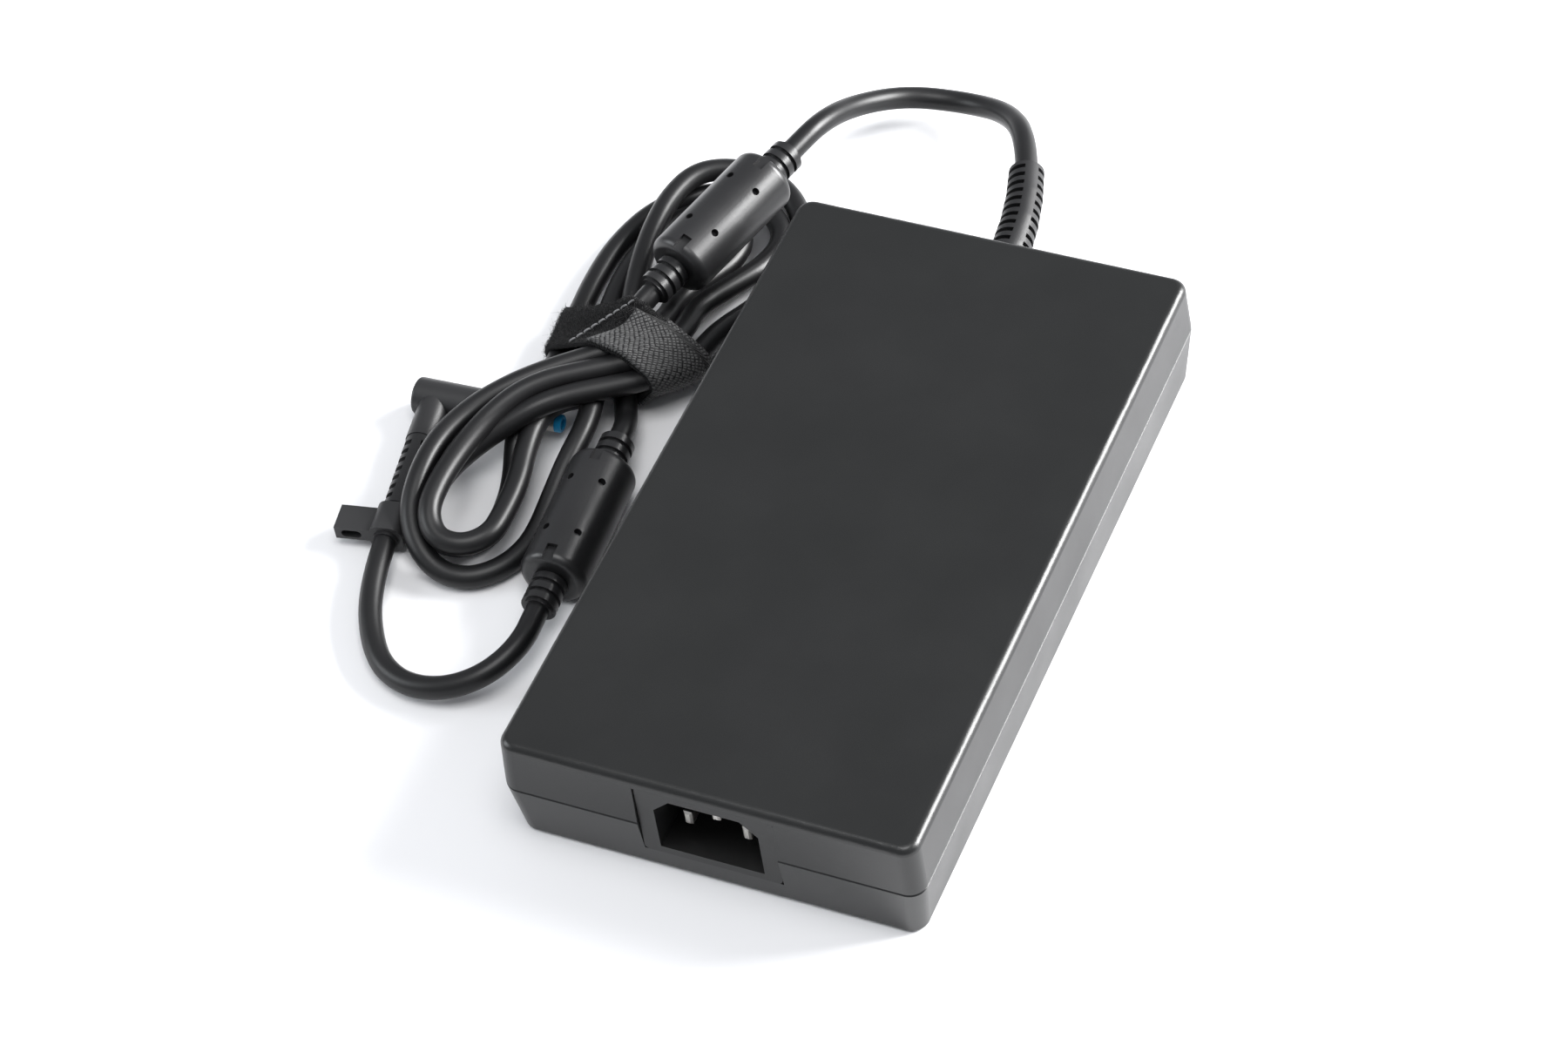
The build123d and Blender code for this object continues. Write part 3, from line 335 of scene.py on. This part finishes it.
far_left = [
    ((-0.0916, 0.0940, 0.0030), (-0.0878, 0.1074, 0.0029), (-0.0805, 0.1152, 0.0062)),
    ((-0.0940, 0.0840, 0.0034), (-0.0972, 0.0980, 0.0029), (-0.0892, 0.1088, 0.0088)),
    ((-0.0944, 0.0705, 0.0040), (-0.1010, 0.0840, 0.0032), (-0.0920, 0.0980, 0.0090)),
    ((-0.0922, 0.0575, 0.0044), (-0.1010, 0.0710, 0.0040), (-0.0916, 0.0860, 0.0088)),
    ((-0.0894, 0.0475, 0.0043), (-0.0998, 0.0590, 0.0045), (-0.0898, 0.0740, 0.0082)),
    ((-0.0872, 0.0400, 0.0042), (-0.0984, 0.0470, 0.0046), (-0.0870, 0.0620, 0.0064)),
]
waist_exit = [
    (-0.0834, 0.0510, 0.0046), (-0.0794, 0.0405, 0.0044),
    (-0.0748, 0.0315, 0.0050), (-0.0717, 0.0254, 0.0076),
]
lower_choke_route = [(-0.0709, 0.0195, 0.0084), (-0.0692, -0.0075, 0.0084)]
plug_lead_route = [
    (-0.0675, -0.0344, 0.0084), (-0.0668, -0.0450, 0.0084),
    (-0.0715, -0.0546, 0.0068), (-0.0805, -0.0602, 0.0047),
    (-0.0913, -0.0603, 0.0032), (-0.1012, -0.0545, 0.0032),
    (-0.1105, -0.0379, 0.0048), (-0.1130, -0.0236, 0.0048),
]

figure_eight = near_right + near_end + near_left + waist_up + far_right + far_end + far_left
cord_points = case_lead_route + upper_choke_route + waist_entry
for turn in range(3):
    for place in figure_eight:
        cord_points.append(place[turn])
cord_points += waist_exit + lower_choke_route + plug_lead_route

cord_curve = bpy.data.curves.new("lead", "CURVE")
cord_curve.dimensions = "3D"
cord_curve.resolution_u = 10
cord_curve.bevel_depth = cord_diameter / 2
cord_curve.bevel_resolution = 6
cord_curve.use_fill_caps = True
cord_line = cord_curve.splines.new("NURBS")
cord_line.points.add(len(cord_points) - 1)
for spot, place in zip(cord_line.points, cord_points):
    spot.co = (*place, 1.0)
cord_line.order_u = 3
cord_line.use_endpoint_u = True
lead = bpy.data.objects.new("lead", cord_curve)
scene.collection.objects.link(lead)
cord_jacket = grained("cord_jacket", (0.004, 0.004, 0.0045), (0.007, 0.007, 0.0075), 0.4,
                      grains=1500.0, depth=0.000015, wear=0.05, specular=0.4)
cord_curve.materials.append(cord_jacket)
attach(lead, "adapter")
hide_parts("case_lead", "cord_hank", "choke_lead", "plug_lead")

# ---------------------------------------------------------------- strap
# A hook-and-loop strap drawn tight round the hank's waist: a soft loop-pile band, sewn near one end,
# and over its right side the stiffer hook tape, whose weave shows.

waist_centre = np.array((-0.0800, 0.0460, 0.0))
waist_lean = radians(14.0)
waist_across = np.array((cos(waist_lean), -sin(waist_lean), 0.0))
waist_ahead = np.array((-sin(waist_lean), -cos(waist_lean), 0.0))
strap_width = 0.0156
band_thickness = 0.0012
tape_thickness = 0.0009
strap_gap = 0.0001
strap_reach = 1.4 * strap_width
strap_stations = 13
strap_steps = 240
outline_directions = 720

bare_curve = cord_curve.copy()
bare_curve.bevel_depth = 0.0
bare_lead = bpy.data.objects.new("bare_lead", bare_curve)
lead_mesh = bpy.data.meshes.new_from_object(bare_lead)
lead_line = np.empty(len(lead_mesh.vertices) * 3)
lead_mesh.vertices.foreach_get("co", lead_line)
lead_line = lead_line.reshape(-1, 3)
bpy.data.objects.remove(bare_lead)
bpy.data.curves.remove(bare_curve)
bpy.data.meshes.remove(lead_mesh)


def strap_outline(distance, grow):
    """The tight loop round the strands at one station along the waist.

    Each strand is a circle where the lead crosses the station's plane. In every direction the loop
    touches the circle that reaches furthest, and it is then stepped evenly along its own length.
    """
    offset = (lead_line - waist_centre) @ waist_ahead - distance
    crossing = np.nonzero(offset[:-1] * offset[1:] < 0)[0]
    share = offset[crossing] / (offset[crossing] - offset[crossing + 1])
    places = lead_line[crossing] + share[:, None] * (lead_line[crossing + 1] - lead_line[crossing])
    flat = np.stack(((places - waist_centre) @ waist_across, places[:, 2]), axis=1)
    flat = flat[np.abs(flat[:, 0]) < strap_reach]
    angle = np.linspace(-pi / 2, 1.5 * pi, outline_directions)
    way = np.stack((np.cos(angle), np.sin(angle)), axis=1)
    loop = flat[np.argmax(flat @ way.T, axis=0)] + (cord_diameter / 2 + grow) * way
    run = np.concatenate(((0.0,), np.cumsum(np.linalg.norm(np.diff(loop, axis=0), axis=1))))
    even = np.linspace(0.0, run[-1], strap_steps + 1)
    return np.stack((np.interp(even, run, loop[:, 0]), np.interp(even, run, loop[:, 1])), axis=1)


def strap_surface(grow, start, end, half_width):
    """Rows of points on the strap's outer or inner face, from one share of its length to another."""
    rows = []
    for distance in np.linspace(-half_width, half_width, strap_stations):
        loop = strap_outline(distance, grow)
        first = round(start * strap_steps)
        last = round(end * strap_steps)
        flat = loop[first:last + 1]
        rows.append(waist_centre + flat[:, :1] * waist_across + flat[:, 1:] * np.array((0.0, 0.0, 1.0))
                    + distance * waist_ahead)
    return np.array(rows)


def strap_piece(name, grow, thickness, start, end, half_width):
    """A strip of webbing: its outer and inner faces joined round their four edges, with a flat UV map."""
    outer = strap_surface(grow + thickness, start, end, half_width)
    inner = strap_surface(grow, start, end, half_width)
    rows, columns = outer.shape[:2]
    points = np.concatenate((outer.reshape(-1, 3), inner.reshape(-1, 3)))
    under = rows * columns
    corner = (np.arange(rows - 1)[:, None] * columns + np.arange(columns - 1)).ravel()
    near = np.arange(columns - 1)
    far = (rows - 1) * columns + near
    left = np.arange(rows - 1) * columns
    right = left + columns - 1
    facing_pairs = (
        ((corner, corner + 1, corner + columns + 1, corner + columns),
         (under + corner, under + corner + columns, under + corner + columns + 1, under + corner + 1)),
        ((near, under + near, under + near + 1, near + 1),
         (far, far + 1, under + far + 1, under + far)),
        ((left, left + columns, under + left + columns, under + left),
         (right, under + right, under + right + columns, right + columns)),
    )
    faces = np.concatenate([np.stack((np.stack(one, axis=1), np.stack(other, axis=1)), axis=1).reshape(-1, 4)
                            for one, other in facing_pairs])
    made = make_mesh(name, points, faces)
    middle_steps = np.linalg.norm(np.diff(outer[rows // 2], axis=0), axis=1)
    along_strap = np.concatenate(((0.0,), np.cumsum(middle_steps)))
    across_strap = np.linspace(-half_width, half_width, rows)
    spread = np.stack(np.meshgrid(along_strap, across_strap), axis=-1).reshape(-1, 2)
    spread = np.concatenate((spread, spread))
    corners = np.empty(len(made.data.loops), dtype=np.int32)
    made.data.loops.foreach_get("vertex_index", corners)
    layer = made.data.uv_layers.new(name="strap_length")
    layer.data.foreach_set("uv", spread[corners].ravel())
    return made, outer


band, band_face = strap_piece("strap_band_pile", strap_gap, band_thickness, 0.0, 1.0, strap_width / 2)
tape_start = 0.18
tape_end = 0.55
tape_overhang = 0.0001
tape, _ = strap_piece("strap_hook_tape", 2 * strap_gap + band_thickness, tape_thickness,
                      tape_start, tape_end, strap_width / 2 + tape_overhang)

fibre_lean = 0.9
fibre_shortest = 0.35
fibre_droop = 0.35
fibre_lowest = 0.0002
fibre_rings = ((0.0, 1.0), (0.5, 0.8), (1.0, 0.3))
fibre_sides = (0.0, 2.1, 4.2)


def fibres(name, face, count, reach, width, seed):
    """Short bent fibres on a face: each is a three-sided tapering spike of three rings, leaning at random."""
    chance = np.random.default_rng(seed)
    rows, columns = face.shape[:2]
    row = chance.uniform(0, rows - 1.001, count)
    column = chance.uniform(0, columns - 1.001, count)
    r = row.astype(int)
    c = column.astype(int)
    fr = (row - r)[:, None]
    fc = (column - c)[:, None]
    root = ((1 - fr) * (1 - fc) * face[r, c] + fr * (1 - fc) * face[r + 1, c]
            + (1 - fr) * fc * face[r, c + 1] + fr * fc * face[r + 1, c + 1])
    way = np.cross(face[r, c + 1] - face[r, c], face[r + 1, c] - face[r, c])
    way /= np.linalg.norm(way, axis=1, keepdims=True)
    centre = face.reshape(-1, 3).mean(axis=0)
    way *= np.sign(((root - centre) * way).sum(axis=1, keepdims=True))
    lean = chance.normal(0, fibre_lean, (count, 3))
    lean -= (lean * way).sum(axis=1, keepdims=True) * way
    tall = reach * chance.uniform(fibre_shortest, 1.0, (count, 1))
    side = np.cross(way, lean)
    side /= np.linalg.norm(side, axis=1, keepdims=True)
    front = np.cross(side, way)
    rings = []
    for share, narrow in fibre_rings:
        middle = root + tall * (share * way * (1 - fibre_droop * share) + share**2 * lean)
        for turn in fibre_sides:
            rings.append(middle + width * narrow * (np.cos(turn) * side + np.sin(turn) * front))
    points = np.stack(rings, axis=1).reshape(-1, 3)
    points[:, 2] = np.maximum(points[:, 2], fibre_lowest)
    pattern = []
    for ring in (0, 3):
        for turn in range(3):
            ahead = (turn + 1) % 3
            pattern.append((ring + turn, ring + ahead, ring + 3 + ahead, ring + 3 + turn))
    base = np.arange(count)[:, None, None] * 9
    return make_mesh(name, points, (base + np.array(pattern)).reshape(-1, 4))


pile = fibres("strap_pile_fibres", band_face, count=9000, reach=0.0011, width=0.00006, seed=4)
stray = fibres("strap_stray_fibres", band_face, count=260, reach=0.0030, width=0.000045, seed=9)

seam_share = 0.66
seam_inset = 0.04
stitch_shares = np.array((0.08, 0.3, 0.7, 0.92))
stitch_rises = np.array((0.0, 0.8, 0.8, 0.0))


def stitches(name, face, column, count, thickness):
    """A dashed row of thread across a face: each stitch is a low six-sided bar that dips at both ends."""
    rows = face.shape[0]
    line = face[:, column]
    way = np.cross(face[rows // 2, column + 1] - face[rows // 2, column], line[-1] - line[0])
    way /= np.linalg.norm(way)
    way *= np.sign(((line.mean(axis=0) - face.reshape(-1, 3).mean(axis=0)) * way).sum())
    span = line[-1] - line[0]
    side = np.cross(way, span / np.linalg.norm(span))
    share = seam_inset + (1 - 2 * seam_inset) * (np.arange(count)[:, None] + stitch_shares) / count
    place = line[0] + span * share[:, :, None]
    swing = np.arange(6) * pi / 3
    lift = np.sin(swing) + stitch_rises[:, None]
    ring = np.cos(swing)[None, :, None] * side + lift[:, :, None] * way
    points = (place[:, :, None] + thickness * ring).reshape(-1, 3)
    turn = np.arange(6)
    after = (turn + 1) % 6
    strip = np.stack((turn, after, 6 + after, 6 + turn), axis=1)
    bar = 6 * np.arange(3)[:, None, None] + strip
    faces = (24 * np.arange(count)[:, None, None, None] + bar).reshape(-1, 4)
    return make_mesh(name, points, faces)


seam = stitches("strap_seam", band_face, round(seam_share * strap_steps), count=9, thickness=0.00028)

weave_group, weave_in, weave_out = make_group(
    "woven_tape",
    [("Threads per metre", 1500.0), ("Depth", 0.00015)],
    [("Threads", "NodeSocketFloat"), ("Normal", "NodeSocketVector")],
)
weave_map = weave_group.nodes.new("ShaderNodeUVMap")
weave_map.uv_map = "strap_length"
weave_turn = weave_group.nodes.new("ShaderNodeVectorRotate")
weave_turn.rotation_type = "Z_AXIS"
weave_turn.inputs["Angle"].default_value = radians(34.0)
weave_scale = weave_group.nodes.new("ShaderNodeVectorMath")
weave_scale.operation = "SCALE"
weave_check = weave_group.nodes.new("ShaderNodeTexVoronoi")
weave_check.distance = "CHEBYCHEV"
weave_check.inputs["Randomness"].default_value = 0.25
weave_check.inputs["Scale"].default_value = 1.0
weave_mask = weave_group.nodes.new("ShaderNodeMapRange")
weave_mask.inputs["From Min"].default_value = 0.5
weave_mask.inputs["From Max"].default_value = 0.15
weave_bump = weave_group.nodes.new("ShaderNodeBump")
for start, end in (
    (weave_map.outputs["UV"], weave_turn.inputs["Vector"]),
    (weave_turn.outputs["Vector"], weave_scale.inputs["Vector"]),
    (weave_in.outputs["Threads per metre"], weave_scale.inputs["Scale"]),
    (weave_scale.outputs["Vector"], weave_check.inputs["Vector"]),
    (weave_check.outputs["Distance"], weave_mask.inputs["Value"]),
    (weave_mask.outputs["Result"], weave_bump.inputs["Height"]),
    (weave_in.outputs["Depth"], weave_bump.inputs["Distance"]),
    (weave_mask.outputs["Result"], weave_out.inputs["Threads"]),
    (weave_bump.outputs["Normal"], weave_out.inputs["Normal"]),
):
    weave_group.links.new(start, end)


def fabric(name, dark, light, roughness, threads, depth):
    """A woven or knitted cloth: the threads carry the cloth's colour, the gaps between them are darkened with
    painted shade and sunk by the bump, with a soft sheen.
    """
    made, tree, shader = new_material(name, light, roughness)
    shader.inputs["Sheen Weight"].default_value = 0.05
    shader.inputs["Specular IOR Level"].default_value = 0.2
    weave = tree.nodes.new("ShaderNodeGroup")
    weave.node_tree = weave_group
    weave.inputs["Threads per metre"].default_value = threads
    weave.inputs["Depth"].default_value = depth
    tint = tree.nodes.new("ShaderNodeMix")
    tint.data_type = "RGBA"
    tint.inputs["A"].default_value = (*dark, 1.0)
    tint.inputs["B"].default_value = (*light, 1.0)
    # The weave mask tints the gaps between threads towards the dark colour: painted shade in the weave's
    # recesses.
    tree.links.new(weave.outputs["Threads"], tint.inputs["Factor"])
    tree.links.new(tint.outputs["Result"], shader.inputs["Base Color"])
    tree.links.new(weave.outputs["Normal"], shader.inputs["Normal"])
    return made


# In both cloths the light colour is the threads' own and the dark colour is painted shade in the gaps between
# them.
hook_tape = fabric("hook_tape", (0.003, 0.003, 0.0035), (0.1, 0.1, 0.1), 0.5, 1150.0, 0.0002)
pile_cloth = fabric("pile_cloth", (0.002, 0.002, 0.0025), (0.008, 0.008, 0.009), 0.95, 1900.0, 0.0003)
fibre_material, _, _ = new_material("pile_fibre", (0.005, 0.005, 0.0055), 0.7)
thread_material, _, _ = new_material("seam_thread", (0.16, 0.16, 0.165), 0.5)
tape.data.materials.append(hook_tape)
band.data.materials.append(pile_cloth)
for piece in (pile, stray):
    piece.data.materials.append(fibre_material)
seam.data.materials.append(thread_material)
for piece in (band, tape, pile, stray, seam):
    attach(piece, "adapter")
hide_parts("strap_band")
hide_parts("strap_patch")
